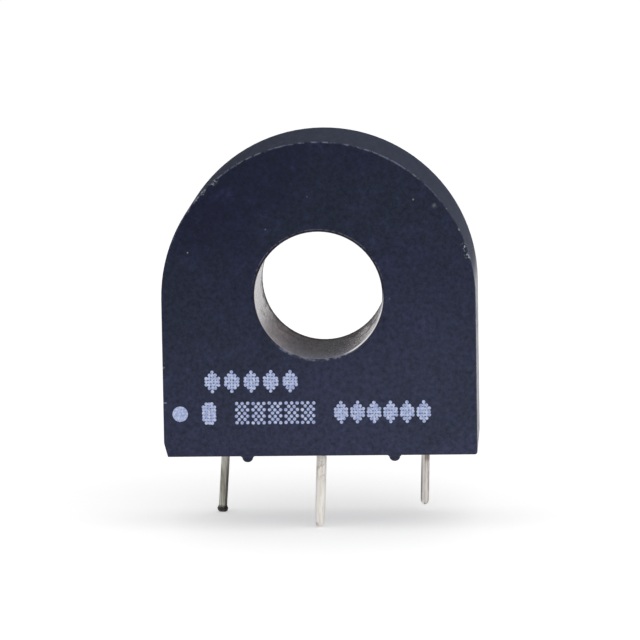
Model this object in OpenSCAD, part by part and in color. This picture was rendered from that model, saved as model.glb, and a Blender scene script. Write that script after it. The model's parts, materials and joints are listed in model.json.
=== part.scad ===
// Board-mounted current transformer: an arch-shaped moulded case round a
// through bore, open at the back and filled with resin over a toroidal coil.
// The origin is the middle of the bore. +X is right and +Z up as the closed
// front face is looked at, and the front face looks toward -Y.

/* [Case] */
// Thickness of the closed front wall
front_wall = 0.9; // [0.6:0.05:1.2]
// Thickness of the wall round the sides and the top
side_wall = 0.9; // [0.6:0.05:1.2]
// Thickness of the bottom wall, which holds the pins
bottom_wall = 1.3; // [0.9:0.05:1.5]
// Distance of the round top's centre below the bore's centre
arch_drop = 0.2; // [0:0.05:0.6]
// Radius of the edge between the front face and the outside
front_edge_radius = 0.16; // [0.05:0.01:0.4]
// Width of the bevel on the lower left corner
corner_bevel_width = 0.3; // [0.1:0.05:0.6]
// Height of the bevel on the lower left corner
corner_bevel_height = 1.1; // [0.4:0.05:2]
// Radius of the lower right corner
corner_radius = 0.25; // [0.1:0.05:0.6]

/* [Bore] */
// Diameter of the bore for the primary conductor
bore_diameter = 9.5; // [8:0.1:14]
// Wall of the tube round the bore
bore_wall = 0.8; // [0.5:0.05:1]
// Chamfer at the front mouth of the bore
front_mouth_chamfer = 0.22; // [0.05:0.01:0.5]
// Chamfer at the back mouth of the bore
back_mouth_chamfer = 0.12; // [0.05:0.01:0.4]

/* [Standoffs] */
// Diameter of a standoff
standoff_diameter = 0.8; // [0.6:0.05:1.2]
// Diameter of a standoff's flared root
standoff_root_diameter = 1.3; // [1:0.05:1.4]
// Height of a standoff below the underside
standoff_height = 0.56; // [0.4:0.02:1.2]
// Height of a standoff's domed tip
standoff_dome = 0.34; // [0.2:0.02:0.36]
// Distance between the left and the right standoffs
standoff_spacing = 11; // [8:0.1:13]
// Distance from a standoff's axis to the nearer face of the case
standoff_inset = 0.9; // [0.85:0.05:1.2]

/* [Pins] */
// Distance between the two winding pins
winding_pin_spacing = 15.24; // [13:0.02:17]
// Distance from the winding pins' row to the support pin
pin_row_spacing = 7.62; // [6.6:0.02:8]
// Diameter of a winding pin
winding_pin_diameter = 0.64; // [0.5:0.02:0.8]
// Diameter of the support pin
support_pin_diameter = 0.76; // [0.5:0.02:0.9]
// Reach of the start pin below the underside
start_pin_reach = 5.7; // [3:0.05:8]
// Reach of the finish pin below the underside
finish_pin_reach = 5.3; // [3:0.05:8]
// Reach of the support pin below the underside
support_pin_reach = 5.55; // [3:0.05:8]
// Lean of the start pin's free leg, to the left
start_pin_lean = 4.2; // [0:0.1:6]
// Lean of the finish pin's free leg, to the left
finish_pin_lean = 1.7; // [0:0.1:6]
// Lean of the support pin's free leg, to the left
support_pin_lean = 2.3; // [0:0.1:6]
// Diameter of the burr left where the start pin was cut
start_pin_burr_diameter = 0.84; // [0.82:0.02:1]
// Height of that burr
burr_height = 0.5; // [0.3:0.05:0.8]
// Length of the support pin's narrowing tip
support_pin_taper = 1; // [0.5:0.1:2]
// Distance of a leg's bend below the underside
bend_drop = 0.2; // [0.1:0.05:0.4]
// Length of a winding pin above the bottom wall, inside the case
winding_pin_rise = 2.2; // [1.5:0.05:2.6]
// Height of a moulded boss round a pin, inside the case
pin_boss_height = 0.6; // [0.3:0.05:0.8]
// Wall of a moulded boss round a pin
pin_boss_wall = 0.6; // [0.4:0.05:0.8]

/* [Coil] */
// Width of the core's ring, from its inside to its outside
core_width = 2.3; // [1.8:0.05:4]
// Height of the core's ring along the bore
core_height = 6; // [5:0.1:10]
// Resin between the bore's tube and the coil
coil_bore_gap = 0.3; // [0.15:0.05:0.6]
// Resin between the coil and the side walls
coil_side_gap = 1.26; // [0.8:0.02:2]
// Resin between the coil and the bottom wall, where the leads pass
coil_below_gap = 1.21; // [1.1:0.01:2]
// Resin between the front wall and the coil
coil_front_gap = 1.4; // [0.4:0.05:2]
// Resin that covers the coil at the back
coil_back_cover = 1.26; // [0.6:0.02:2]
// Depth of the resin's surface below the case's back edge
resin_recess = 0.3; // [0.1:0.05:0.8]
// Thickness of the tape wrapped round the coil
outer_tape = 0.06; // [0.04:0.01:0.12]
// Thickness of the tape round the core
core_tape_thickness = 0.1; // [0.05:0.01:0.2]
// Build of the winding outside the core
winding_outside = 0.4; // [0.2:0.02:0.6]
// Build of the winding inside the core, where the turns crowd together
winding_inside = 0.55; // [0.3:0.02:0.7]
// Build of the winding on the core's two faces
winding_face = 0.45; // [0.2:0.02:0.6]
// Bands of turns that show as ridges round the winding
winding_bands = 36; // [24:1:60]
// Radius of the coil's rounded edges
coil_corner = 0.45; // [0.3:0.05:0.6]
// Depth of the valley between two bands
band_valley = 0.07; // [0.04:0.01:0.12]
// Angle left bare between the winding's start and finish
winding_gap_angle = 22; // [18:1:34]
// Diameter of a lead from the winding to its pin
lead_diameter = 0.3; // [0.2:0.01:0.34]
// Distance of the leads behind the coil's middle, toward the winding pins
lead_offset = 0.8; // [0:0.1:1.2]
// Diameter of a solder joint round a pin
solder_diameter = 1.5; // [1.3:0.05:1.8]
// Height of a solder joint
solder_height = 1.1; // [0.8:0.05:1.2]
// Length of a winding pin that stands out of its solder joint
solder_clearance = 0.15; // [0.05:0.05:0.4]
// Fitting gap between pieces that lie against each other
fit_gap = 0.02; // [0.01:0.005:0.04]

/* [Hidden] */
$fn = 64;
wire_fn = 24;
over = 1;

// Coil, measured from the bore's axis outward
bore_radius = bore_diameter / 2;
tube_radius = bore_radius + bore_wall;
coil_inner_radius = tube_radius + coil_bore_gap;
coil_outer_radius = coil_inner_radius + build_up(winding_inside) + core_width + build_up(winding_outside);
coil_length = core_height + 2 * build_up(winding_face);

// Case, which fits round the coil and is measured from the middle of the bore
half_width = coil_outer_radius + coil_side_gap + side_wall;
case_width = 2 * half_width;
case_depth = front_wall + coil_front_gap + coil_length + coil_back_cover + resin_recess;
front_y = -case_depth / 2;
back_y = case_depth / 2;
cavity_front_y = front_y + front_wall;
resin_y = back_y - resin_recess;
floor_z = -coil_outer_radius - coil_below_gap;
underside_z = floor_z - bottom_wall;
arch_z = -arch_drop;
shoulder_height = arch_z - underside_z;

// Section of each layer of the coil: inner radius, outer radius, front and back
coil_front_y = cavity_front_y + coil_front_gap;
coil_back_y = coil_front_y + coil_length;
tape_to_winding = outer_tape + fit_gap;
wrap_section = [coil_inner_radius, coil_outer_radius, coil_front_y, coil_back_y];
wrap_inside = shrink(wrap_section, outer_tape, outer_tape, outer_tape);
winding_section = shrink(wrap_section, tape_to_winding, tape_to_winding, tape_to_winding);
winding_valley_section = shrink(winding_section, band_valley, band_valley, band_valley);
winding_bed = shrink(winding_section, winding_inside, winding_outside, winding_face);
core_tape_section = shrink(winding_bed, fit_gap, fit_gap, fit_gap);
core_tape_inside = shrink(core_tape_section, core_tape_thickness, core_tape_thickness,
                          core_tape_thickness);
core_section = shrink(core_tape_inside, fit_gap, fit_gap, fit_gap);

// Pins
winding_pin_radius = winding_pin_diameter / 2;
support_pin_radius = support_pin_diameter / 2;
start_pin_x = -winding_pin_spacing / 2;
finish_pin_x = winding_pin_spacing / 2;
winding_pin_y = pin_row_spacing / 2;
support_pin_y = -pin_row_spacing / 2;
boss_top_z = floor_z + pin_boss_height;
winding_pin_top_z = floor_z + winding_pin_rise;
support_pin_top_z = boss_top_z - fit_gap;
// A leg starts to bend just below the standoffs' roots
bend_z = underside_z - bend_drop;

// Leads, which leave the winding's two ends and pass below the coil
lead_radius = lead_diameter / 2;
lead_level = (winding_bed[1] + winding_section[1]) / 2;
lead_y = (coil_front_y + coil_back_y) / 2 + lead_offset;
lead_angle = winding_gap_angle / 2 - asin((lead_radius + fit_gap) / lead_level);
lead_drop_z = (floor_z - coil_outer_radius) / 2;
solder_base_z = winding_pin_top_z - solder_height - solder_clearance;
lead_end_z = solder_base_z + solder_height / 2;
bend_bead = 1.1;

// Thickness of all that lies on one side of the core, for the winding's build there
function build_up(winding) = core_tape_thickness + winding + outer_tape + 3 * fit_gap;

function shrink(section, inside, outside, faces) =
    [section[0] + inside, section[1] - outside, section[2] + faces, section[3] - faces];

// Points of an arc about a centre, from one angle to another
function arc(centre, radius, from, to, steps) =
    [for (i = [0 : steps])
        centre + radius * [cos(from + (to - from) * i / steps), sin(from + (to - from) * i / steps)]];

// Places children, drawn in x and z, as a slab from one y to another
module slab(from_y, to_y) {
    translate([0, to_y, 0])
        rotate([90, 0, 0])
            linear_extrude(to_y - from_y) children();
}

// Turns children, drawn as radius and distance along the bore, about the bore's axis
module turned(angle = 360, start = 0) {
    rotate([-90, 0, 0])
        rotate([0, 0, start])
            rotate_extrude(angle = angle) children();
}

// Turns children from the z axis to a direction
module aimed(way) {
    rotate([0, acos(way[2] / norm(way)), atan2(way[1], way[0])]) children();
}

// The half of space that lies past a point, in a direction
module beyond(point, way) {
    reach = 2 * case_width;
    translate(point)
        aimed(way)
            translate([0, 0, reach / 2]) cube([reach, reach, reach], center = true);
}

// Straight stretch of round wire
module stretch(from, to, radius) {
    translate(from)
        aimed(to - from)
            cylinder(r = radius, h = norm(to - from), $fn = wire_fn);
}

// Round wire along a route, with a small bead of enamel at each bend
module bent_wire(route, radius) {
    for (i = [0 : len(route) - 2]) stretch(route[i], route[i + 1], radius);
    for (i = [1 : len(route) - 2])
        translate(route[i])
            rotate([90, 0, 0]) sphere(r = radius * bend_bead, $fn = wire_fn);
}

// ---- Case ----

// Outline of the case or of its cavity, as seen along the bore
module arch_outline(wall, bottom_z) {
    radius = half_width - wall;
    intersection() {
        union() {
            translate([0, arch_z]) circle(r = radius);
            translate([-radius, bottom_z]) square([2 * radius, arch_z - bottom_z]);
        }
        translate([-case_width / 2, bottom_z]) square([case_width, case_width]);
    }
}

// Half of the case's section across its depth, with the front edge rounded
module half_depth_section() {
    rounding = arc([half_width - front_edge_radius, front_y + front_edge_radius],
                   front_edge_radius, -90, 0, 4);
    polygon(concat([[0, front_y]], rounding, [[half_width, back_y], [0, back_y]]));
}

module case_block() {
    translate([0, 0, arch_z]) turned(180, 180) half_depth_section();
    translate([0, 0, underside_z])
        linear_extrude(shoulder_height)
            for (side = [0, 1]) mirror([side, 0]) half_depth_section();
}

// What the lower corners and the lower front edge lose
module corner_cuts() {
    r = front_edge_radius;
    slab(front_y - over, back_y + over) {
        polygon([[-half_width - over, underside_z - over],
                 [corner_bevel_width - half_width, underside_z - over],
                 [corner_bevel_width - half_width, underside_z],
                 [-half_width, underside_z + corner_bevel_height],
                 [-half_width - over, underside_z + corner_bevel_height]]);
        polygon(concat(arc([half_width - corner_radius, underside_z + corner_radius],
                           corner_radius, 0, -90, 6),
                       [[half_width - corner_radius, underside_z - over],
                        [half_width + over, underside_z - over],
                        [half_width + over, underside_z + corner_radius]]));
    }
    translate([-case_width, 0, 0])
        rotate([90, 0, 90])
            linear_extrude(2 * case_width)
                polygon(concat(arc([front_y + r, underside_z + r], r, 180, 270, 4),
                               [[front_y + r, underside_z - over],
                                [front_y - over, underside_z - over],
                                [front_y - over, underside_z + r]]));
}

// A post with a flared root and a domed tip, below the underside
module standoff() {
    radius = standoff_diameter / 2;
    root = standoff_root_diameter / 2;
    dome_z = standoff_dome - standoff_height;
    dome = [for (a = [0 : 15 : 75]) [radius * cos(a), dome_z - standoff_dome * sin(a)]];
    rotate_extrude()
        polygon(concat([[0, over / 4], [root, over / 4], [root, 0]], dome,
                       [[0, -standoff_height]]));
}

module at_standoffs() {
    for (x = [-1, 1], y = [-1, 1])
        translate([x * standoff_spacing / 2, y * (case_depth / 2 - standoff_inset), underside_z])
            children();
}

// Places children on a pin's axis
module at_pin(x, y) {
    translate([x, y, 0]) children();
}

module pin_boss(radius) {
    translate([0, 0, floor_z - over / 4])
        cylinder(r = radius + fit_gap + pin_boss_wall, h = pin_boss_height + over / 4);
}

module pin_hole(radius) {
    translate([0, 0, underside_z - over])
        cylinder(r = radius + fit_gap, h = bottom_wall + pin_boss_height + 2 * over);
}

module case() {
    color([0.17, 0.18, 0.25])
    difference() {
        union() {
            difference() {
                case_block();
                slab(cavity_front_y, back_y + over) arch_outline(side_wall, floor_z);
                corner_cuts();
            }
            slab(cavity_front_y - front_wall / 2, back_y) circle(r = tube_radius);
            at_standoffs() standoff();
            at_pin(start_pin_x, winding_pin_y) pin_boss(winding_pin_radius);
            at_pin(finish_pin_x, winding_pin_y) pin_boss(winding_pin_radius);
            at_pin(0, support_pin_y) pin_boss(support_pin_radius);
        }
        slab(front_y - over, back_y + over) circle(r = bore_radius);
        bore_mouths();
        at_pin(start_pin_x, winding_pin_y) pin_hole(winding_pin_radius);
        at_pin(finish_pin_x, winding_pin_y) pin_hole(winding_pin_radius);
        at_pin(0, support_pin_y) pin_hole(support_pin_radius);
    }
}

module bore_mouths() {
    f = front_mouth_chamfer;
    b = back_mouth_chamfer;
    turned() {
        polygon([[0, front_y - over], [bore_radius + f + over, front_y - over],
                 [bore_radius, front_y + f], [0, front_y + f]]);
        polygon([[0, back_y + over], [bore_radius + b + over, back_y + over],
                 [bore_radius, back_y - b], [0, back_y - b]]);
    }
}

// ---- Resin ----

module potting() {
    gap = fit_gap;
    color([0.1, 0.1, 0.11])
    difference() {
        slab(cavity_front_y + gap, resin_y) arch_outline(side_wall + gap, floor_z + gap);
        slab(cavity_front_y - over, back_y + over) circle(r = tube_radius + gap);
        turned() band(shrink(wrap_section, -gap, -gap, -gap), coil_corner + gap);
        for (x = [start_pin_x, finish_pin_x]) {
            at_pin(x, winding_pin_y) boss_clearance(winding_pin_radius);
            at_pin(x, winding_pin_y) pin_shank(winding_pin_radius + gap, winding_pin_top_z + gap);
            at_pin(x, winding_pin_y) solder_shape(gap);
        }
        at_pin(0, support_pin_y) boss_clearance(support_pin_radius);
        lead(-1, gap);
        lead(1, gap);
    }
}

module boss_clearance(radius) {
    translate([0, 0, floor_z - over])
        cylinder(r = radius + pin_boss_wall + 2 * fit_gap, h = pin_boss_height + fit_gap + over);
}

// ---- Coil ----

// Rounded rectangle: the section of one layer, drawn as radius and distance along the bore
module band(section, corner, steps = 4) {
    inner = section[0] + corner;
    outer = section[1] - corner;
    front = section[2] + corner;
    back = section[3] - corner;
    polygon(concat(arc([inner, front], corner, 180, 270, steps),
                   arc([outer, front], corner, 270, 360, steps),
                   arc([outer, back], corner, 0, 90, steps),
                   arc([inner, back], corner, 90, 180, steps)));
}

module plain_band(section) {
    translate([section[0], section[2]])
        square([section[1] - section[0], section[3] - section[2]]);
}

module core() {
    color([0.55, 0.56, 0.58]) turned() plain_band(core_section);
}

module core_tape() {
    color([0.85, 0.72, 0.35])
    turned()
        difference() {
            plain_band(core_tape_section);
            plain_band(core_tape_inside);
        }
}

// The turns, as bands with a valley between them, from the gap below the bore and round
module secondary_winding() {
    span = 360 - winding_gap_angle;
    pitch = span / winding_bands;
    first = 90 + winding_gap_angle / 2;
    corner = coil_corner - tape_to_winding;
    color([0.72, 0.36, 0.16])
    difference() {
        turned(span, first)
            difference() {
                band(winding_section, corner, 2);
                plain_band(winding_bed);
            }
        for (i = [1 : winding_bands - 1])
            turned(pitch * 0.4, first + pitch * (i - 0.2))
                difference() {
                    plain_band(shrink(winding_section, -over, -over, -over));
                    band(winding_valley_section, corner, 2);
                }
    }
}

module outer_wrap() {
    color([0.9, 0.85, 0.7])
    difference() {
        turned()
            difference() {
                band(wrap_section, coil_corner);
                band(wrap_inside, coil_corner - outer_tape);
            }
        lead(-1, fit_gap);
        lead(1, fit_gap);
    }
}

// ---- Leads and solder ----

// Point on a radius of the coil, at an angle from straight down
function below(radius, side, angle) =
    [side * radius * sin(angle), lead_y, -radius * cos(angle)];

// Route of a lead, up against the winding's end, out through the tape and along to its pin
function lead_route(side) = [
    below(lead_level, side, lead_angle),
    below(-lead_drop_z / cos(lead_angle), side, lead_angle),
    [side * (winding_pin_spacing / 2 - winding_pin_radius - lead_radius), winding_pin_y, lead_end_z]
];

module lead(side, gap = 0) {
    bent_wire(lead_route(side), lead_radius + gap);
}

module start_lead() {
    color([0.75, 0.4, 0.2]) lead(-1);
}

module finish_lead() {
    color([0.75, 0.4, 0.2]) lead(1);
}

// Double cone of solder round a pin's upper end
module solder_shape(gap) {
    r = solder_diameter / 2 + gap;
    waist = winding_pin_radius * 1.375 + gap;
    low = solder_base_z - gap;
    high = solder_base_z + solder_height + gap;
    rotate_extrude()
        polygon([[0, low], [waist, low], [r, (2 * low + high) / 3], [r, (low + 2 * high) / 3],
                 [waist, high], [0, high]]);
}

module solder(side) {
    difference() {
        at_pin(side * winding_pin_spacing / 2, winding_pin_y)
            difference() {
                solder_shape(0);
                pin_shank(winding_pin_radius + fit_gap, winding_pin_top_z + over);
            }
        lead(side, fit_gap);
    }
}

module start_solder() {
    color([0.75, 0.76, 0.78]) solder(-1);
}

module finish_solder() {
    color([0.75, 0.76, 0.78]) solder(1);
}

// ---- Pins ----

// Straight part of a pin, from a level up into the case
module pin_shank(radius, top_z, from_z = bend_z) {
    translate([0, 0, from_z]) cylinder(r = radius, h = top_z - from_z);
}

// Places children at the bend, with z down the leaning leg
module on_leg(lean) {
    translate([0, 0, bend_z])
        rotate([0, lean, 0])
            rotate([180, 0, 0]) children();
}

// Length of a leg below its bend, for a given reach below the underside
function leg_length(reach, lean) = (reach - (underside_z - bend_z)) / cos(lean);

// A pin whose free leg, given as a child that starts one radius above the bend, leans
module bent_pin(radius, top_z, lean) {
    mitre = [sin(lean / 2), 0, cos(lean / 2)];
    difference() {
        pin_shank(radius, top_z, bend_z - radius);
        beyond([0, 0, bend_z], -mitre);
    }
    difference() {
        on_leg(lean) children();
        beyond([0, 0, bend_z], mitre);
    }
}

// Leg that was cut off, with the burr the cutter left
module burred_leg(radius, length) {
    burr = start_pin_burr_diameter / 2;
    rotate_extrude()
        polygon([[0, -radius], [radius, -radius], [radius, length - burr_height],
                 [burr, length - burr_height / 2], [burr * 0.9, length - burr_height / 6],
                 [burr * 0.67, length], [0, length]]);
}

// Leg with a rounded tip
module rounded_leg(radius, length) {
    tip = radius * 1.3;
    rotate_extrude()
        polygon(concat([[0, -radius], [radius, -radius]],
                       [for (a = [0 : 15 : 75]) [radius * cos(a), length - tip + tip * sin(a)]],
                       [[0, length]]));
}

// Leg that narrows toward a blunt tip
module tapered_leg(radius, length) {
    rotate_extrude()
        polygon([[0, -radius], [radius, -radius], [radius, length - support_pin_taper],
                 [radius * 0.86, length - support_pin_taper * 0.12], [radius * 0.7, length],
                 [0, length]]);
}

module start_pin() {
    length = leg_length(start_pin_reach, start_pin_lean);
    color([0.5, 0.49, 0.45])
        at_pin(start_pin_x, winding_pin_y)
            bent_pin(winding_pin_radius, winding_pin_top_z, start_pin_lean)
                burred_leg(winding_pin_radius, length);
}

module finish_pin() {
    length = leg_length(finish_pin_reach, finish_pin_lean);
    color([0.77, 0.74, 0.71])
        at_pin(finish_pin_x, winding_pin_y)
            bent_pin(winding_pin_radius, winding_pin_top_z, finish_pin_lean)
                rounded_leg(winding_pin_radius, length);
}

module support_pin() {
    length = leg_length(support_pin_reach, support_pin_lean);
    color([0.84, 0.82, 0.79])
        at_pin(0, support_pin_y)
            bent_pin(support_pin_radius, support_pin_top_z, support_pin_lean)
                tapered_leg(support_pin_radius, length);
}

case();
potting();
core();
core_tape();
secondary_winding();
outer_wrap();
start_lead();
finish_lead();
start_solder();
finish_solder();
start_pin();
finish_pin();
support_pin();
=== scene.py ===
# %% [markdown]
# # A board-mounted current transformer
#
# A small ring of steel tape carries a copper winding. Both sit in a dark moulded case, and a
# cable passes through the tube in its middle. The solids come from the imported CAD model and
# keep their shape. This lesson gives them their finishes, adds the printed marks, and sets
# the light and the camera.

# %% Load the fixed frame
import json
import math
import random

import bpy
from mathutils import Matrix, Vector


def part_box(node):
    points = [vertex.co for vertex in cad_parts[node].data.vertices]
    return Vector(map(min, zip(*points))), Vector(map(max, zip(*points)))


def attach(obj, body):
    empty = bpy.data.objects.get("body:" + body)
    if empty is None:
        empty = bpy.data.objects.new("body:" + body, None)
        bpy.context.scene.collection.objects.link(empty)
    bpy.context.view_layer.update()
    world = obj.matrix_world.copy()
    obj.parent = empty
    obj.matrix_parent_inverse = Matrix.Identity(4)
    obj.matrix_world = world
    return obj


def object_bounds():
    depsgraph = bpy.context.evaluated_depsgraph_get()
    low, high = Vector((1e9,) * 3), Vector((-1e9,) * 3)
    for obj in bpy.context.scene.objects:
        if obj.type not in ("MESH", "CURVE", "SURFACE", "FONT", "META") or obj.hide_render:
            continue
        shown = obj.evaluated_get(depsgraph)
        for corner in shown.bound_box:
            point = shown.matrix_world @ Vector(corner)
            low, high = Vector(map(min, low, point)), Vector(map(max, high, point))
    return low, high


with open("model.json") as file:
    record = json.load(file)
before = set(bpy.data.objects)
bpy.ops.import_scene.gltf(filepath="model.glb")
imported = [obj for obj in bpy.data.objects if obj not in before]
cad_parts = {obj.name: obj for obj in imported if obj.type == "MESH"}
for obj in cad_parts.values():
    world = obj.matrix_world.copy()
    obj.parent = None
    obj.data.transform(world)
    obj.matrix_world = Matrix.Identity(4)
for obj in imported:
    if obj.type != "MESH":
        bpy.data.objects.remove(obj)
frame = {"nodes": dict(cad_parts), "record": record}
cad_low, cad_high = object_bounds()


def in_mm(place):
    """A place in metres as rounded millimetres, for printing."""
    return [round(value * 1000, 2) for value in place]


print("CAD box:", in_mm(cad_low), in_mm(cad_high))

# %% [markdown]
# ## Measures that the finishes need
#
# Every pattern and mark is placed from the case's own box, so that it stays right if the
# part changes. Lengths are in millimetres here, because the object is small, and become
# metres only where Blender is given them.

# %% Read the places of the case, the bore and the front face
MM = 0.001
STANDOFF_HEIGHT = 0.56

case_low, case_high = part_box("case")
front_y = case_low.y / MM
back_y = case_high.y / MM
half_width = case_high.x / MM
arch_z = case_high.z / MM - half_width
underside_z = case_low.z / MM + STANDOFF_HEIGHT
mounts = {mount["name"]: mount for mount in frame["record"]["mounts"]}
bore_radius = mounts["primary_bore"]["dims"]["r_mm"]
print("front", round(front_y, 2), "half width", round(half_width, 2))
print("arch centre", round(arch_z, 2), "underside", round(underside_z, 2))
print("bore radius", bore_radius)

# %% [markdown]
# ## Shader maths as plain Python
#
# A procedural material is mostly arithmetic on masks. Wiring it by hand takes hundreds of
# lines, so one small class stands for a socket. Adding or multiplying such a wire adds the
# Math node, and one method makes any other node.

# %% The wire
class Wire:
    """One output of a shader node. Maths written on it adds Math nodes."""

    def __init__(self, tree, socket):
        self.tree = tree
        self.socket = socket

    def make(self, kind, settings=None, inputs=None, output=0):
        """Adds one node: its settings first, then the values or wires of its sockets."""
        made = self.tree.nodes.new(kind)
        for name, value in (settings or {}).items():
            setattr(made, name, value)
        for key, value in (inputs or {}).items():
            if isinstance(value, Wire):
                self.tree.links.new(value.socket, made.inputs[key])
            else:
                made.inputs[key].default_value = value
        return Wire(self.tree, made.outputs[output])

    def out(self, name):
        """Another output of the same node."""
        return Wire(self.tree, self.socket.node.outputs[name])

    def math(self, operation, first, second=0.0):
        return self.make("ShaderNodeMath", {"operation": operation}, {0: first, 1: second})

    def __add__(self, other):
        return self.math("ADD", self, other)

    def __sub__(self, other):
        return self.math("SUBTRACT", self, other)

    def __rsub__(self, other):
        return self.math("SUBTRACT", other, self)

    def __mul__(self, other):
        return self.math("MULTIPLY", self, other)

    def __truediv__(self, other):
        return self.math("DIVIDE", self, other)

    __radd__ = __add__
    __rmul__ = __mul__

    def larger(self, other):
        return self.math("MAXIMUM", self, other)

    def size(self):
        """The value without its sign."""
        return self.math("ABSOLUTE", self)

    def root(self):
        return self.math("SQRT", self)

    def wave(self):
        """A sine of the value, lifted so that it runs from 0 to 1."""
        return self.math("SINE", self) * 0.5 + 0.5

    def angle_from(self, other):
        """The angle of a point whose height this is and whose width the other is."""
        return self.math("ARCTAN2", self, other)

    def rising(self, low, high):
        """0 below low and 1 above high, with a soft step between them."""
        return self.make("ShaderNodeMapRange", {"interpolation_type": "SMOOTHSTEP"},
                         {"Value": self, "From Min": low, "From Max": high})

    def falling(self, low, high):
        """1 below low and 0 above high, with a soft step between them."""
        return 1 - self.rising(low, high)


print("a wire adds nodes as Python adds numbers")

# %% [markdown]
# ## A finish to start from
#
# Colours are easiest to judge in the 0 to 255 steps of a screen, but a shader wants linear
# light, so one helper converts them. A Finish holds a new material, its surface shader, and
# the place on the piece in millimetres, which every pattern reads.

# %% Colours
def shade(red, green, blue):
    """A screen colour in 0 to 255 steps, as the linear colour that a shader takes.

    The other numbers are those of the standard curve of screens.
    """
    linear = []
    for step in (red, green, blue):
        value = step / 255
        linear.append(value / 12.92 if value <= 0.04045 else ((value + 0.055) / 1.055) ** 2.4)
    return (*linear, 1.0)


print("screen grey 128 is linear", round(shade(128, 128, 128)[0], 3))


# %% The finish
class Finish:
    """A material in the making."""

    def __init__(self, name, **constants):
        self.material = bpy.data.materials.new(name)
        self.material.use_nodes = True
        tree = self.material.node_tree
        self.shader = tree.nodes["Principled BSDF"]
        for socket, value in constants.items():
            self.shader.inputs[socket.replace("_", " ")].default_value = value
        start = Wire(tree, self.shader.outputs[0])
        metres = start.make("ShaderNodeTexCoord").out("Object")
        self.place = metres.make("ShaderNodeVectorMath", {"operation": "SCALE"},
                                 {0: metres, "Scale": 1 / MM})
        split = self.place.make("ShaderNodeSeparateXYZ", None, {0: self.place})
        self.x = split.out("X")
        self.y = split.out("Y")
        self.z = split.out("Z")

    def drawn_out(self, x, y, z):
        """The place with each axis scaled. A share below 1 draws a noise out along it."""
        return self.place.make("ShaderNodeVectorMath", {"operation": "MULTIPLY"},
                               {0: self.place, 1: (x, y, z)})

    def noise(self, scale, detail=4.0, rough=0.6, place=None, seed=0.0):
        """A cloud of noise with about `scale` patches in a millimetre, from 0 to 1."""
        return self.place.make("ShaderNodeTexNoise", {"noise_dimensions": "4D"},
                               {"Vector": place or self.place, "W": seed, "Scale": scale,
                                "Detail": detail, "Roughness": rough})

    def cells(self, scale, seed=0.0):
        """Distance to the nearest of scattered points: small where a speck sits."""
        return self.place.make("ShaderNodeTexVoronoi", {"voronoi_dimensions": "4D"},
                               {"Vector": self.place, "W": seed, "Scale": scale})

    def blend(self, mask, low, high):
        """A colour that goes from low to high where the mask goes from 0 to 1."""
        return self.place.make("ShaderNodeMix", {"data_type": "RGBA"},
                               {0: mask, 6: low, 7: high}, output=2)

    def tint(self, colour, factor):
        """The colour, lighter or darker by a factor that may change over the surface."""
        return self.place.make("ShaderNodeVectorMath", {"operation": "SCALE"},
                               {0: colour, "Scale": factor})

    def relief(self, height, depth_mm, under=None):
        """A normal that a height in 0 to 1 gives, over another relief if there is one."""
        inputs = {"Height": height, "Distance": depth_mm * MM, "Strength": 1.0}
        if under is not None:
            inputs["Normal"] = under
        return self.place.make("ShaderNodeBump", None, inputs)

    def feed(self, **wires):
        """Links wires to the surface shader and returns the finished material."""
        for socket, wire in wires.items():
            wire.tree.links.new(wire.socket, self.shader.inputs[socket.replace("_", " ")])
        print("finish", self.material.name, "has", len(self.material.node_tree.nodes), "nodes")
        return self.material


def dress(node, material):
    """Gives a CAD node its finish and leaves its mesh alone."""
    piece = frame["nodes"][node]
    for slot in piece.material_slots:
        slot.material = material
    if not piece.material_slots:
        piece.data.materials.append(material)


print("nodes to dress:", len(frame["nodes"]))

# %% [markdown]
# ## The case
#
# The case is moulded from a dark, slightly blue thermoplastic. A spark-eroded mould gives it
# a fine satin grain. Handling leaves cloudy patches, dust in the grain and pale chips along
# the front edge, so the masks below start from the distance to that edge.

# %% Distances on the case
COOL_SHEEN = (0.78, 0.84, 1.0, 1.0)
case = Finish("moulded_case", Specular_IOR_Level=0.22, Specular_Tint=COOL_SHEEN)

over_arch = (case.z - arch_z).larger(0.0)
edge_gap = half_width - (case.x * case.x + over_arch * over_arch).root()
front_gap = case.y - front_y
from_edge = edge_gap.larger(front_gap)
outer_side = edge_gap.falling(0.02, 0.1)
arch_side = outer_side * case.z.rising(arch_z - 9.0, arch_z + 3.0)
straight_side = outer_side * case.z.falling(arch_z + 0.5, arch_z + 3.0)
bore_distance = (case.x * case.x + case.z * case.z).root()
in_bore = bore_distance.falling(bore_radius + 0.01, bore_radius + 0.03)
print("the straight sides end and the arch starts at z", round(arch_z, 2))

# %% Clouds and grain of the front, over painted shade and light
# The top and bottom colours are painted shade and painted light.
FACE_TOP_SHADED = shade(15, 18, 39)
FACE_BOTTOM_LIT = shade(48, 51, 71)
CLOUD_GREY = shade(28, 38, 46)
MOTTLE_BLUE = shade(46, 50, 84)

clouds = case.noise(0.13, detail=3.0, rough=0.5, seed=1.0)
mottle = case.noise(0.8, detail=6.0, rough=0.7, seed=2.0)
grain = case.noise(3.0, rough=0.8, seed=3.0)
lit_low_share = case.z.falling(underside_z, arch_z + 9.5)
lit_right_share = case.x.rising(-half_width, half_width)
# Painted shade and light: the front is darker at the top and left and lighter at the bottom
# and right, as the light falls.
body_blue = case.blend(lit_low_share * 0.75 + lit_right_share * 0.25, FACE_TOP_SHADED, FACE_BOTTOM_LIT)
body_blue = case.blend(clouds.rising(0.4, 0.65) * 0.3, body_blue, CLOUD_GREY)
body_blue = case.blend(mottle.rising(0.5, 0.72) * 0.25, body_blue, MOTTLE_BLUE)
body_blue = case.tint(body_blue, grain * 3.0 + mottle * 0.7 - 0.7)
print("three layers of noise make the cloudy blue-black of the front")

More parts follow.
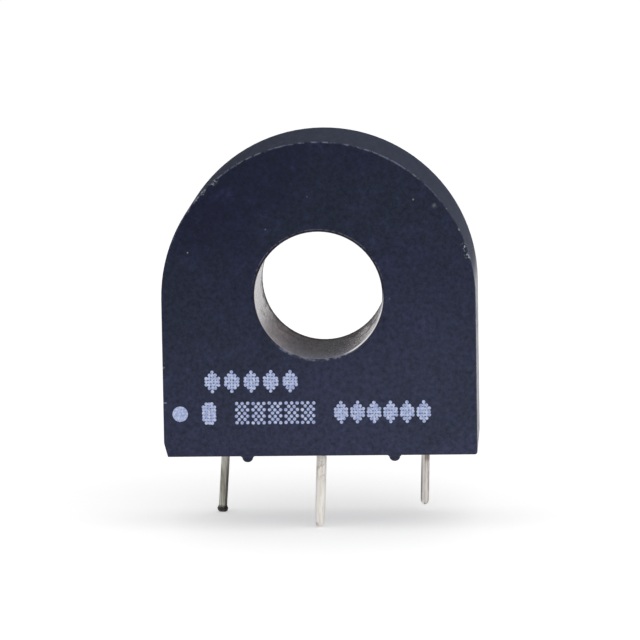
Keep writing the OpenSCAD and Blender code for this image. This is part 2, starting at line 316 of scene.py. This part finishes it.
# %% The rim, whose pattern is drawn out from front to back
RIM_DARK = shade(24, 32, 52)
RIM_PALE = shade(43, 53, 78)
# A pale blue for a painted sheen on the rim's right.
RIM_SHEEN_PALE = shade(84, 90, 114)

rim_place = case.drawn_out(1.0, 0.2, 1.0)
rim_noise = case.noise(2.4, rough=0.7, place=rim_place, seed=16.0)
rim_blue = case.blend(rim_noise.rising(0.32, 0.68), RIM_DARK, RIM_PALE)
# The rim is painted paler towards the right: a painted sheen where the light grazes it.
rim_blue = case.blend(lit_right_share * 0.3, rim_blue, RIM_SHEEN_PALE)
rim_blue = case.tint(rim_blue, mottle * 0.5 + 0.55)
body_blue = case.blend(arch_side, body_blue, rim_blue)
print("a fourth layer, drawn out along the depth, covers the rim of the arch")


# %% Places on the arch
def on_arch(angle, gap):
    """The x and z of a place that lies a gap inside the arch's edge, at an angle from +X."""
    reach = half_width - gap
    turn = math.radians(angle)
    return reach * math.cos(turn), arch_z + reach * math.sin(turn)


def near(x, z, small, large):
    """1 near a place on the case's front and 0 away from it, with a ragged outline."""
    raggedness = 4.0
    along = case.x - x
    up = case.z - z
    distance = (along * along + up * up).root()
    return (distance + (grain - 0.5) * small * raggedness).falling(small, large)


def largest(masks):
    """The largest of several masks at each place."""
    result = masks[0]
    for mask in masks[1:]:
        result = result.larger(mask)
    return result


print("the arch's left end is at", [round(v, 2) for v in on_arch(180.0, 0.0)])

# %% Chips along the front edge, and a painted highlight on it
chip_noise = case.noise(2.6, detail=5.0, rough=0.72, seed=4.0)
edge_chips = from_edge.falling(0.05, 0.24) * chip_noise.rising(0.62, 0.7)
line_noise = case.noise(2.0, rough=0.65, seed=9.0)
# A thin, broken pale line along the upper arch's edge: partly wear, partly a painted highlight
# of the rounded edge.
edge_wear_and_highlight = from_edge.falling(0.0, 0.16) * line_noise.rising(0.42, 0.6)
edge_wear_and_highlight = edge_wear_and_highlight * case.x.falling(7.0, 11.0) * case.z.rising(2.0, 7.0) * 0.6
print("the chips lie within 0.24 mm of the front edge")

# %% Knocks, specks and a nick
# A knock has its angle, its gap inside the edge, and the sizes of its core and its reach.
KNOCKS = ((130.8, -0.11, 0.1, 0.55), (136.4, -0.04, 0.05, 0.4), (140.4, -0.13, 0.05, 0.5),
          (18.9, 0.16, 0.05, 0.45), (15.2, 0.09, 0.05, 0.4), (25.6, -0.06, 0.05, 0.2))
# A speck has its angle, its gap inside the edge and its strength.
SPECKS = ((160.0, 1.43, 0.5), (126.5, 5.25, 0.2), (95.3, 4.07, 0.12),
          (45.6, 1.47, 0.4), (-0.8, 6.4, 0.15))
NICK_HEIGHT = 4.1

knocks = largest([near(*on_arch(angle, gap), core_size, reach)
                  for angle, gap, core_size, reach in KNOCKS])
knock_noise = case.noise(7.5, detail=2.0, rough=0.5, seed=7.0)
knock_chips = knocks * knock_noise.rising(0.5, 0.6) * 0.85
knock_chips = knock_chips * from_edge.falling(0.25, 0.6)
dust = case.cells(0.9, seed=5.0).falling(0.02, 0.05) * 0.25
specks = largest([dust] + [near(*on_arch(angle, gap), 0.02, 0.09) * strength
                           for angle, gap, strength in SPECKS])
scuff = near(*on_arch(38.0, 0.62), 0.02, 0.3) * chip_noise.rising(0.48, 0.6)
nick = (case.z - underside_z - NICK_HEIGHT).size().falling(0.02, 0.06)
nick = nick * edge_gap.falling(0.2, 0.34) * case.x.falling(-1.0, 0.0)
nick = nick * front_gap.falling(0.3, 0.7)
wear = largest([edge_chips, knock_chips, specks, scuff * 0.2, nick * 0.5])
print(len(KNOCKS), "knocks at the arch's two ends and", len(SPECKS), "specks on the front")

# %% [markdown]
# ## The bore
#
# The tube's wall is the same plastic, dulled by dust and by the cable that rubs it. It keeps
# enough gloss to mirror the white table in a flat view, and its sides are also painted pale,
# a painted reflection of that table, which makes its left side look pale. Brown smears lie
# towards the back, and the dark band at the back edge is grime and a painted shadow. The
# wall is painted lighter towards the front, partly wear and partly painted light, and the
# lip's lower right is a painted highlight.

# %% The bore's wall
# The pale sides are dusty plastic with a painted reflection of the white table. The front
# colours are wear and painted light, and the black is grime and painted shadow.
WALL_SIDES_DUST_AND_SHEEN = shade(180, 170, 174)
WALL_BOTTOM = shade(106, 104, 111)
SMEAR_BROWN = shade(72, 56, 50)
RUBBED_LIT_SIDES = shade(172, 168, 170)
RUBBED_LIT_BOTTOM = shade(136, 140, 152)
GRIME_AND_SHADE_BLACK = shade(34, 28, 30)

long_place = case.drawn_out(1.0, 0.3, 1.0)
smear_noise = case.noise(0.8, detail=5.0, rough=0.68, place=long_place, seed=8.0)
fine_noise = case.noise(3.0, rough=0.7, place=rim_place, seed=10.0)
toward_back = case.y.rising(back_y - 5.0, back_y - 0.3)
to_right = case.x / bore_distance
to_top = case.z / bore_distance
to_bottom = 0 - to_top
bore_low = to_bottom.rising(0.7, 1.0)
bore_right = to_right.rising(0.2, 0.8)
smears = (smear_noise + toward_back * 0.15 + bore_right * 0.12).rising(0.55, 0.7)
# Lighter colours for the front of the wall: wear and painted light.
rubbed_and_lit = case.blend(bore_low, RUBBED_LIT_SIDES, RUBBED_LIT_BOTTOM)
# A dark band at the back edge: grime and a painted shadow along the far rim.
back_grime_and_shade = case.y.rising(back_y - 1.6, back_y - 0.3)
# The sides are painted much paler than the bottom: dust and a painted reflection.
bore_tone = case.blend(bore_low, WALL_SIDES_DUST_AND_SHEEN, WALL_BOTTOM)
bore_tone = case.tint(bore_tone, fine_noise * 1.8 + 0.1)
bore_tone = case.blend(smears * 0.55, bore_tone, SMEAR_BROWN)
# The wall is painted lighter towards the front: partly wear, partly painted light that reaches
# into the tube.
bore_tone = case.blend(front_gap.falling(0.0, 6.0) * 0.6, bore_tone, rubbed_and_lit)
bore_tone = case.blend(back_grime_and_shade * 0.85, bore_tone, GRIME_AND_SHADE_BLACK)
bore_rough = 0.14 + fine_noise * 0.16 + smears * 0.2 + back_grime_and_shade * 0.4
print("the wall runs from y", round(front_y, 2), "to", round(back_y, 2))

# %% The lip, worn at the bottom, with painted highlights and a painted shade line
on_lip = bore_distance.falling(bore_radius + 0.09, bore_radius + 0.13) * (1 - in_bore)
# Masks for a painted highlight at the lower right, and painted shade and a highlight at the
# top.
lip_right = to_right.rising(0.3, 0.6) * to_top.falling(-0.3, 0.1)
lip_top = to_top.rising(0.0, 0.5)
outer_lip = bore_distance.rising(bore_radius + 0.12, bore_radius + 0.17)
outer_lip = outer_lip * bore_distance.falling(bore_radius + 0.2, bore_radius + 0.26)
# A faint pale ring at the top of the lip: a painted highlight of its outer edge.
faint_highlight_ring = outer_lip * lip_top * fine_noise.rising(0.4, 0.55) * 0.45
# The lower lip is paler: partly wear, partly a painted highlight where it faces up.
worn_and_lit_low = bore_distance.falling(bore_radius + 0.08, bore_radius + 0.24) * (1 - in_bore)
worn_and_lit_low = worn_and_lit_low * to_bottom.rising(0.6, 0.9) * fine_noise.rising(0.38, 0.58)
print("the lip is brightest at the lower right")

# %% Put the case's finish together
# Besides the chips, these colours hold painted light: highlights on the edge and the lip,
# where the edge and lower lip are also worn, and shade on the lip's top.
EDGE_HIGHLIGHT_PALE = shade(150, 154, 172)
CHIP_PALE = shade(172, 178, 182)
WORN_LIT_GREY = shade(132, 137, 150)
LIP_HIGHLIGHT_WHITE = shade(246, 243, 243)
LIP_SHADE_DARK = shade(48, 30, 34)
RING_HIGHLIGHT_GREY = shade(120, 122, 138)

# Partly wear, partly a painted highlight along the upper edge.
colour = case.blend(edge_wear_and_highlight, body_blue, EDGE_HIGHLIGHT_PALE)
colour = case.blend(wear, colour, CHIP_PALE)
# The lower lip: partly wear, partly a painted highlight.
colour = case.blend(worn_and_lit_low * 0.75, colour, WORN_LIT_GREY)
# A painted highlight on the lip's lower right.
colour = case.blend(on_lip * lip_right, colour, LIP_HIGHLIGHT_WHITE)
# Painted shade on the top of the lip.
colour = case.blend(on_lip * lip_top * 0.7, colour, LIP_SHADE_DARK)
# A painted highlight ring above the lip.
colour = case.blend(faint_highlight_ring, colour, RING_HIGHLIGHT_GREY)
colour = case.blend(in_bore, colour, bore_tone)
side_noise = case.noise(1.3, detail=5.0, rough=0.7, place=long_place, seed=15.0)
side_gloss = straight_side * (0.4 - side_noise.rising(0.4, 0.7) * 0.16)
body_rough = 0.6 + mottle * 0.15 - side_gloss
rough = body_rough * (1 - in_bore) + bore_rough * in_bore
bumps = case.relief(grain * 0.7 + mottle * 0.3, 0.012)
bumps = case.relief(1 - wear, 0.02, bumps)
dress("case", case.feed(Base_Color=colour, Roughness=rough, Normal=bumps))

# %% [markdown]
# ## The potting resin
#
# The back of the case is filled with resin that levels itself while it cures. It keeps a
# calm gloss, a few small bubbles, and slow waves where it shrank.

# %% Resin
RESIN_DARK = shade(16, 17, 22)
RESIN_HAZE = shade(30, 31, 37)

resin = Finish("potting_resin", Specular_IOR_Level=0.4)
waves = resin.noise(0.22, detail=2.0, rough=0.4, seed=11.0)
bubble_groups = resin.noise(0.3, detail=2.0, rough=0.55, seed=13.0).rising(0.52, 0.56)
bubbles = resin.cells(0.55, seed=12.0).falling(0.1, 0.16) * bubble_groups
haze = resin.noise(0.7, detail=5.0, seed=14.0)
resin_colour = resin.blend(haze.rising(0.4, 0.7), RESIN_DARK, RESIN_HAZE)
resin_rough = 0.08 + haze * 0.2 + bubbles * 0.3
resin_bumps = resin.relief(waves, 0.25)
resin_bumps = resin.relief(1 - bubbles, 0.05, resin_bumps)
dress("potting", resin.feed(Base_Color=resin_colour, Roughness=resin_rough,
                            Normal=resin_bumps))

# %% [markdown]
# ## The coil inside
#
# Nobody sees the coil unless the case is opened, but it is finished like the rest. The core
# is rolled up from thin steel tape, so its faces show fine rings. The enamelled copper is a
# warm gloss. The inner tape is pale woven cloth and the outer one is amber film.

# %% The core's steel tape
STEEL_DARK = shade(118, 118, 122)
STEEL_PALE = shade(168, 168, 172)
OXIDE_BROWN = shade(96, 84, 78)

core = Finish("core_steel", Metallic=1.0)
from_axis = (core.x * core.x + core.z * core.z).root()
rings = (from_axis * 60.0).wave()
oxide = core.noise(0.8, detail=5.0, seed=21.0)
steel = core.blend(rings, STEEL_DARK, STEEL_PALE)
steel = core.blend(oxide.rising(0.5, 0.75) * 0.6, steel, OXIDE_BROWN)
dress("core", core.feed(Base_Color=steel, Roughness=0.3 + oxide * 0.25,
                        Normal=core.relief(rings, 0.01)))

# %% The woven inner tape
CLOTH_DARK = shade(196, 188, 160)
CLOTH_PALE = shade(222, 216, 196)
CLOTH_LAP = shade(150, 140, 116)

tape = Finish("core_tape")
laps = (tape.z.angle_from(tape.x) * 22.0).wave()
weave = tape.noise(6.0, detail=2.0, seed=22.0)
cloth = tape.blend(weave.rising(0.4, 0.65), CLOTH_DARK, CLOTH_PALE)
cloth = tape.blend(laps.rising(0.9, 1.0) * 0.5, cloth, CLOTH_LAP)
dress("core_tape", tape.feed(Base_Color=cloth, Roughness=0.6 + weave * 0.2,
                             Normal=tape.relief(weave + laps * 0.5, 0.02)))

# %% The enamelled copper of the winding and its leads
COPPER_DARK = shade(176, 92, 48)
COPPER_PALE = shade(206, 124, 74)

copper = Finish("enamelled_copper", Metallic=1.0, Coat_Weight=0.6, Coat_Roughness=0.12)
copper_haze = copper.noise(1.2, seed=23.0)
copper_tone = copper.blend(copper_haze.rising(0.35, 0.7), COPPER_DARK, COPPER_PALE)
copper_material = copper.feed(Base_Color=copper_tone, Roughness=0.22 + copper_haze * 0.15,
                              Normal=copper.relief(copper_haze, 0.01))
for node in ("secondary_winding", "start_lead", "finish_lead"):
    dress(node, copper_material)

# %% The amber outer tape
FILM_DARK = shade(204, 172, 92)
FILM_PALE = shade(224, 196, 120)
FILM_LAP = shade(160, 128, 60)

film = Finish("outer_tape")
film_haze = film.noise(0.9, seed=24.0)
film_laps = (film.z.angle_from(film.x) * 14.0).wave()
film_tone = film.blend(film_haze.rising(0.35, 0.7), FILM_DARK, FILM_PALE)
film_tone = film.blend(film_laps.rising(0.92, 1.0) * 0.5, film_tone, FILM_LAP)
dress("outer_wrap", film.feed(Base_Color=film_tone, Roughness=0.25 + film_haze * 0.2,
                              Normal=film.relief(film_laps, 0.02)))

# %% The solder joints
SOLDER_DULL = shade(176, 178, 180)
SOLDER_BRIGHT = shade(206, 206, 204)

solder = Finish("solder", Metallic=1.0)
crust = solder.noise(3.0, seed=25.0)
solder_tone = solder.blend(crust.rising(0.4, 0.7), SOLDER_DULL, SOLDER_BRIGHT)
solder_material = solder.feed(Base_Color=solder_tone, Roughness=0.25 + crust * 0.3,
                              Normal=solder.relief(crust, 0.02))
for node in ("start_solder", "finish_solder"):
    dress(node, solder_material)

# %% [markdown]
# ## The pins
#
# The pins are tinned wire. Drawing the wire leaves long streaks, so the noise is drawn out
# along Z. The start pin has lost its shine: its tin has turned grey-brown, its cut end is
# dark, and its right side is painted dark as painted shade. The other two are still bright,
# with smears and stains, and the finish pin has a painted highlight down its left.

# %% What the three pins share
def pin_finish(name, dark, light, smear, seed, metal):
    """Streaky tin on drawn wire, with its colour, its streaks and its patches."""
    pin = Finish(name, Metallic=metal)
    streaks = pin.noise(3.0, place=pin.drawn_out(1.6, 1.6, 0.16), seed=seed)
    patches = pin.noise(1.4, seed=seed + 1)
    tone = pin.blend(streaks.rising(0.36, 0.64), dark, light)
    tone = pin.blend(patches.rising(0.55, 0.75) * 0.5, tone, smear)
    return pin, tone, streaks, patches


def along_and_across(pin, leg):
    """How far below the case and how far right of the leaning pin's axis a place is."""
    middle_x = mounts[leg]["pos_m"][0] / MM
    middle_z = mounts[leg]["pos_m"][2] / MM
    lean = mounts[leg]["axis"][0] / mounts[leg]["axis"][2]
    axis_x = (pin.z - middle_z) * lean + middle_x
    return underside_z - pin.z, pin.x - axis_x


for leg in ("start_pin_leg", "finish_pin_leg", "support_pin_leg"):
    print(leg, "points along", [round(v, 3) for v in mounts[leg]["axis"]])

# %% The support pin's bright tin
STAIN_TAN = shade(168, 152, 126)

bright, bright_tone, bright_streaks, bright_patches = pin_finish(
    "bright_tin", dark=shade(234, 227, 217), light=shade(255, 252, 247),
    smear=shade(255, 253, 250), seed=31.0, metal=0.25)
support_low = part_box("support_pin")[0]
support_left = support_low.x / MM
support_tip = support_low.z / MM
stains = bright.noise(1.8, detail=5.0, rough=0.7, seed=33.0).rising(0.5, 0.6)
stains = stains * bright.z.rising(support_tip + 2.8, underside_z - 0.6)
corner = bright.x.falling(support_left + 0.1, support_left + 0.3)
corner = corner * bright.z.falling(support_tip + 0.12, support_tip + 0.4)
bright_tone = bright.blend(stains.larger(corner) * 0.65, bright_tone, STAIN_TAN)
bright_rough = 0.35 + bright_patches * 0.25
dress("support_pin", bright.feed(Base_Color=bright_tone, Roughness=bright_rough,
                                 Normal=bright.relief(bright_streaks, 0.02)))

# %% The finish pin's painted highlight and brown edge
HIGHLIGHT_WHITE = shade(255, 252, 246)
ROOT_GREY = shade(112, 116, 108)
STAIN_BROWN = shade(92, 72, 60)

satin, satin_tone, satin_streaks, satin_patches = pin_finish(
    "satin_tin", dark=shade(172, 163, 155), light=shade(242, 237, 230),
    smear=shade(250, 247, 243), seed=36.0, metal=0.65)
below, across = along_and_across(satin, "finish_pin_leg")
# A near-white stripe left of the pin's axis: a painted highlight.
highlight_streak = across.rising(-0.24, -0.17) * across.falling(-0.1, 0.0) * below.rising(0.6, 1.0)
satin_tone = satin.blend(highlight_streak * 0.8, satin_tone, HIGHLIGHT_WHITE)
grey_root = below.falling(0.6, 1.0) * across.falling(-0.05, 0.08)
satin_tone = satin.blend(grey_root * 0.75, satin_tone, ROOT_GREY)
brown_spot = across.rising(-0.1, 0.0) * (below - 1.55).size().falling(0.1, 0.5)
brown_edge = across.falling(-0.28, -0.2) * below.rising(1.0, 2.4)
satin_tone = satin.blend(brown_edge.larger(brown_spot * 0.7) * 0.8, satin_tone, STAIN_BROWN)
satin_rough = 0.28 + satin_patches * 0.2
dress("finish_pin", satin.feed(Base_Color=satin_tone, Roughness=satin_rough,
                               Normal=satin.relief(satin_streaks, 0.03)))

# %% The start pin's tarnish, and painted shade on its right side
ROOT_PALE = shade(246, 245, 236)
SHADE_BROWN = shade(44, 34, 28)
CUT_BLACK = shade(30, 26, 26)

dull, dull_tone, dull_streaks, dull_patches = pin_finish(
    "tarnished_tin", dark=shade(150, 146, 132), light=shade(216, 214, 202),
    smear=shade(190, 185, 171), seed=41.0, metal=0.4)
start_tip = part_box("start_pin")[0].z / MM
below, across = along_and_across(dull, "start_pin_leg")
pale_root = below.falling(0.5, 1.5)
# The pin's right side is painted dark brown: painted shade.
shaded_side = across.rising(0.1, 0.24) * below.rising(1.0, 2.8)
cut_end = dull.z.falling(start_tip + 0.3, start_tip + 0.62)
dull_tone = dull.blend(pale_root * 0.9, dull_tone, ROOT_PALE)
dull_tone = dull.blend(shaded_side * 0.85, dull_tone, SHADE_BROWN)
dull_tone = dull.blend(cut_end * 0.92, dull_tone, CUT_BLACK)
dress("start_pin", dull.feed(Base_Color=dull_tone, Roughness=0.38 + dull_patches * 0.25,
                             Normal=dull.relief(dull_streaks, 0.025)))

# %% [markdown]
# ## Printed marks
#
# A pad of pale ink sits at the lower left of the front: the dot that tells which way round
# the cable's current is measured. Two rows of small marks are printed dot by dot. The marks
# here are plain figures, such as lozenges and chequers. One ink dot is modelled, then
# copied, each copy with its own mesh, and the copies of a row are joined.

# %% Ink
INK_THIN = shade(142, 157, 204)
INK_FULL = shade(200, 209, 235)

ink = Finish("pad_ink", Specular_IOR_Level=0.3)
ink_noise = ink.noise(5.0, seed=51.0)
ink_tone = ink.blend(ink_noise.rising(0.35, 0.65), INK_THIN, INK_FULL)
ink_material = ink.feed(Base_Color=ink_tone, Roughness=0.55 + ink_noise * 0.2,
                        Normal=ink.relief(ink_noise, 0.01))


# %% A pad of ink
def clear_selection():
    """An operator acts on all that is selected, so nothing may be left from before."""
    bpy.ops.object.select_all(action="DESELECT")


def ink_disc(name, x, z, radius, height, sides):
    """A flat disc of ink that stands its height proud of the front face."""
    clear_selection()
    bpy.ops.mesh.primitive_cylinder_add(
        vertices=sides, radius=radius * MM, depth=2 * height * MM,
        location=(x * MM, front_y * MM, z * MM), rotation=(math.pi / 2, 0, 0))
    disc = bpy.context.object
    disc.name = name
    bpy.ops.object.transform_apply(location=True, rotation=True, scale=True)
    disc.data.materials.append(ink_material)
    return disc


print("ink is put on the front face at y", round(front_y, 2))

# %% The polarity dot
DOT_FROM_LEFT = 1.27
DOT_FROM_UNDERSIDE = 3.25
DOT_RADIUS = 0.58
DOT_HEIGHT = 0.02
DOT_BEVEL = 0.012

dot_x = DOT_FROM_LEFT - half_width
dot_z = underside_z + DOT_FROM_UNDERSIDE
dot = ink_disc("polarity_dot", dot_x, dot_z, DOT_RADIUS, DOT_HEIGHT, sides=40)
bpy.ops.object.mode_set(mode="EDIT")
bpy.ops.mesh.select_all(action="SELECT")
bpy.ops.mesh.bevel(offset=DOT_BEVEL * MM, segments=2, affect="EDGES")
bpy.ops.object.mode_set(mode="OBJECT")
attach(dot, "root")
print("polarity dot at", round(dot_x, 2), round(dot_z, 2))

# %% Figures made of small dots
FIGURES = {
    "lozenge": ["..#..", ".###.", "#####", "#####", "#####", ".###.", "..#.."],
    "chequer": ["#.#.#", ".#.#.", "#.#.#", ".#.#.", "#.#.#", ".#.#.", "#.#.#"],
    "oval": [".###.", "#####", "#####", "#####", "#####", "#####", ".###."],
}
INK_RADIUS = 0.13
INK_HEIGHT = 0.014
INK_SHIFT = 0.02
INK_STEP = 0.001


def print_figures(name, starts, figures, low_z, figure_width, figure_height):
    """Copies one ink dot over each figure's grid and joins the copies into one row."""
    pattern = ink_disc(name + "_dot", 0.0, 0.0, INK_RADIUS, INK_HEIGHT, sides=10)
    step_x = (figure_width - 2 * INK_RADIUS) / 4
    step_z = (figure_height - 2 * INK_RADIUS) / 6
    copies = []
    for start, figure in zip(starts, figures):
        for row, line in enumerate(FIGURES[figure]):
            for column, mark in enumerate(line):
                if mark == ".":
                    continue
                x = start + INK_RADIUS + column * step_x
                z = low_z + figure_height - INK_RADIUS - row * step_z
                x += random.uniform(-INK_SHIFT, INK_SHIFT)
                z += random.uniform(-INK_SHIFT, INK_SHIFT)
                # Dots that overlap differ a little in height, so that no two faces coincide.
                lift = -INK_STEP * ((column + 2 * row) % 4)
                copy = bpy.data.objects.new(name, pattern.data.copy())
                copy.data.transform(Matrix.Translation(Vector((x, lift, z)) * MM))
                bpy.context.scene.collection.objects.link(copy)
                copies.append(copy)
    clear_selection()
    for copy in copies:
        copy.select_set(True)
    bpy.context.view_layer.objects.active = copies[0]
    bpy.ops.object.join()
    joined = bpy.context.object
    joined.name = name
    bpy.data.objects.remove(pattern)
    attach(joined, "root")
    print(name, "has", len(figures), "figures and", len(joined.data.polygons), "faces")


# %% The two rows
LOW_PITCH = 1.23
TOP_PITCH = 1.45

random.seed(7)
low_starts = [2.9 - half_width]
low_starts += [5.36 - half_width + LOW_PITCH * n for n in range(5)]
low_starts += [12.74 - half_width + LOW_PITCH * n for n in range(6)]
low_figures = ["oval"] + ["chequer"] * 5 + ["lozenge"] * 6
print_figures("print_row_low", low_starts, low_figures, low_z=underside_z + 2.43,
              figure_width=1.08, figure_height=1.71)
top_starts = [3.14 - half_width + TOP_PITCH * n for n in range(5)]
print_figures("print_row_top", top_starts, ["lozenge"] * 5, low_z=underside_z + 4.82,
              figure_width=1.15, figure_height=1.69)

# %% [markdown]
# ## Floor, world and lamps
#
# The part stands on its pins on a white table. The camera sees the table and white air.
# Reflections see the white table too, and above it a room that is greyer, so the arch's rim
# stays dark while the upright walls pick up a pale sheen. Diffuse light comes from the same
# world at a lower level and from two soft lamps.

# %% Floor
FLOOR_SIZE = 2.0
FLOOR_WHITE = (0.9, 0.9, 0.9, 1)
FLOOR_GLOW = 0.36

clear_selection()
bpy.ops.mesh.primitive_plane_add(size=FLOOR_SIZE, location=(0, 0, cad_low.z))
floor = bpy.context.object
floor.name = "floor"
bpy.ops.object.transform_apply(location=True, rotation=True, scale=True)
table = bpy.data.materials.new("white_table")
table.use_nodes = True
table_tree = table.node_tree
table_shader = table_tree.nodes["Principled BSDF"]
table_shader.inputs["Base Color"].default_value = FLOOR_WHITE
table_shader.inputs["Roughness"].default_value = 0.9
table_shader.inputs["Specular IOR Level"].default_value = 0.0
table_light = Wire(table_tree, table_shader.outputs[0])
ray = table_light.make("ShaderNodeLightPath")
seen = ray.out("Is Camera Ray").larger(ray.out("Is Glossy Ray"))
seen = seen.larger(ray.out("Is Transmission Ray"))
glow = table_light.make("ShaderNodeEmission", None, {"Strength": seen * FLOOR_GLOW})
both = table_light.make("ShaderNodeAddShader", None, {0: table_light, 1: glow})
table_tree.links.new(both.socket, table_tree.nodes["Material Output"].inputs["Surface"])
floor.data.materials.append(table)
print("the table lies at z", round(cad_low.z / MM, 2))

# %% World
AMBIENT = 0.7
ROOM_LOW = 0.08
ROOM_SPAN = 0.6

world = bpy.data.worlds.new("studio")
bpy.context.scene.world = world
world.use_nodes = True
background = world.node_tree.nodes["Background"]
air = Wire(world.node_tree, background.outputs[0])
ray = air.make("ShaderNodeLightPath")
direction = air.make("ShaderNodeTexCoord").out("Object")
upward = air.make("ShaderNodeSeparateXYZ", None, {0: direction}).out("Z")
room = upward.rising(0.1, 0.9) * ROOM_SPAN + ROOM_LOW
mirrored = ray.out("Is Glossy Ray")
level = ray.out("Is Camera Ray").larger(ray.out("Is Transmission Ray"))
level = level.larger(mirrored * room)
level = level.larger(AMBIENT * (1 - mirrored))
world.node_tree.links.new(level.socket, background.inputs["Strength"])
background.inputs["Color"].default_value = (1, 1, 1, 1)
print("the world gives", AMBIENT, "to diffuse surfaces")


# %% Lamps
LAMP_SIZE = 0.5


def soft_lamp(name, place, watts):
    """A square lamp that looks at the middle of the case."""
    lamp = bpy.data.lights.new(name, "AREA")
    lamp.energy = watts
    lamp.size = LAMP_SIZE
    holder = bpy.data.objects.new(name, lamp)
    bpy.context.scene.collection.objects.link(holder)
    holder.location = place
    holder.rotation_mode = "QUATERNION"
    holder.rotation_quaternion = (-Vector(place)).to_track_quat("-Z", "Y")
    print(name, "stands", round(Vector(place).length, 2), "m away")


soft_lamp("key_lamp", (0.22, -0.3, 0.22), watts=0.56)
soft_lamp("fill_lamp", (-0.3, -0.25, 0.1), watts=0.2)

# %% [markdown]
# ## The camera
#
# A long lens, about four hand-widths away, shows the part nearly straight on, a little from
# above and from its right, and rolled by less than a degree.

# %% Camera
LENS = 285.6
SENSOR = 36.0
CAMERA_PLACE = Vector((17.64, -379.17, 47.35)) * MM
TURN = math.radians(2.686)
TILT = math.radians(90 - 7.490)
ROLL = math.radians(-0.911)

camera_data = bpy.data.cameras.new("camera")
camera_data.sensor_width = SENSOR
camera_data.lens = LENS
camera_data.clip_start = 0.01
camera_data.clip_end = 10.0
camera = bpy.data.objects.new("camera", camera_data)
bpy.context.scene.collection.objects.link(camera)
looking = Matrix.Rotation(TURN, 4, "Z")
looking = looking @ Matrix.Rotation(TILT, 4, "X")
looking = looking @ Matrix.Rotation(ROLL, 4, "Z")
camera.matrix_world = Matrix.Translation(CAMERA_PLACE) @ looking
bpy.context.scene.camera = camera
bpy.context.scene.view_settings.view_transform = "Standard"
print("camera stands at", [round(v, 3) for v in camera.location])
